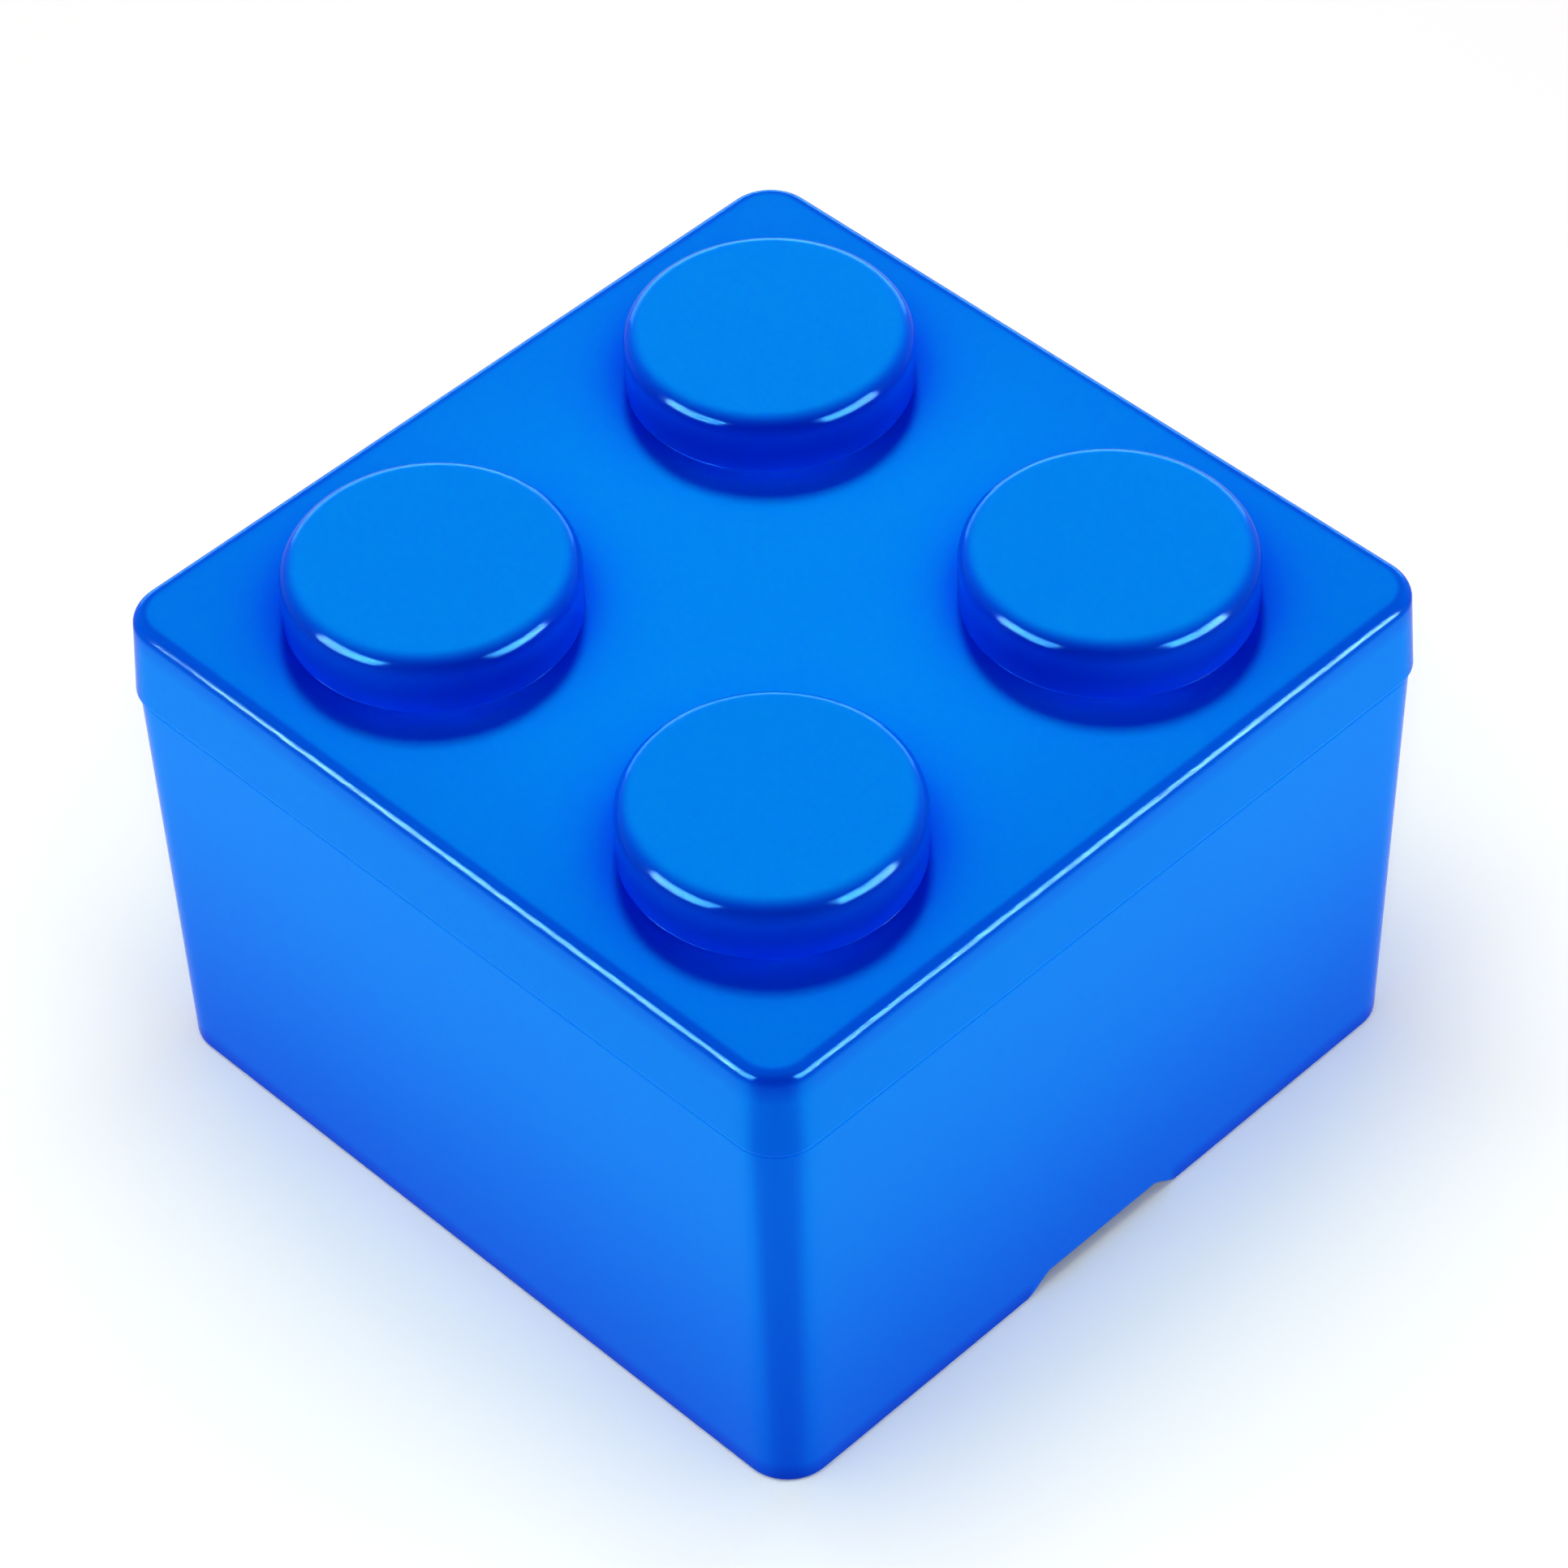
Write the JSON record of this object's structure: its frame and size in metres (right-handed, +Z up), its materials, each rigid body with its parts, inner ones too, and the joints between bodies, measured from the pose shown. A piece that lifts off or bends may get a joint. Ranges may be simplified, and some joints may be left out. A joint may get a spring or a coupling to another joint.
{
  "type": "stackable storage box",
  "caption": "Square brick shaped storage box with a lift-off lid, round hollow studs on top and an underside that sits over the studs of a like box, so that boxes stack.",
  "frame": {"origin": "middle of the underside, on the ground", "axes": "+Z up through the lid; -Y is the front, the side whose bottom edge shows a notch; +X to the right seen from the front"},
  "size_m": [0.101, 0.101, 0.073],
  "materials": {
    "lid_plastic": "glossy moulded blue plastic",
    "box_plastic": "glossy moulded blue plastic"
  },
  "bodies": {
    "box": {"box": "box_plastic"},
    "lid": {"lid": "lid_plastic"}
  },
  "joints": [
    {"name": "lid_lift", "type": "slide", "parent": "box", "child": "lid", "axis": [0, 0, 1], "range_m": [0, 0.06]}
  ]
}
